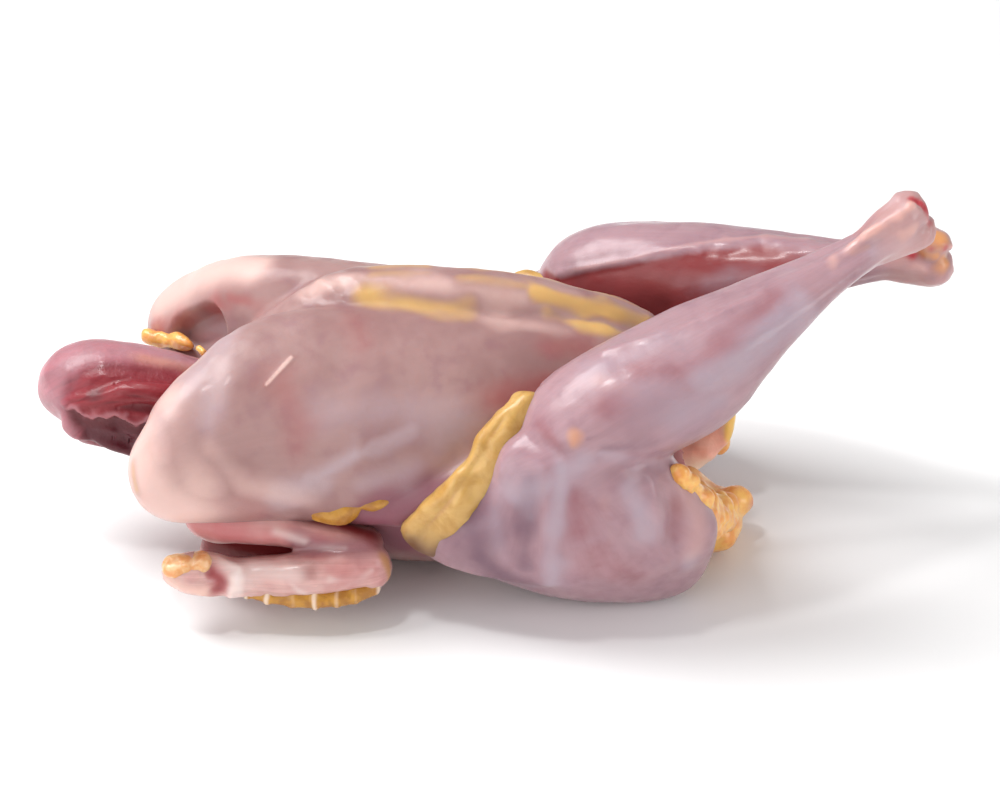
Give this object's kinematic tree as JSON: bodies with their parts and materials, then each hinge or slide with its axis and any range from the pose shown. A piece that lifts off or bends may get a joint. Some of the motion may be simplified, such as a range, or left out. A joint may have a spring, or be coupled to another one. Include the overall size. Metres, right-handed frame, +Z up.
{
  "type": "raw skinned whole chicken",
  "caption": "Raw whole chicken without skin, lying on its back with the legs stretched up and back, the wings folded, a neck stump and an open vent.",
  "frame": {"origin": "on the table under the middle of the bird's box", "axes": "+X towards the ankles, -X towards the neck, +Z up through the breast, -Y the bird's right side"},
  "size_m": [0.2784, 0.1298, 0.1224],
  "materials": {
    "flesh": "wet raw muscle under a thin clear membrane"
  },
  "bodies": {
    "root": {"chicken": "flesh"}
  },
  "joints": []
}
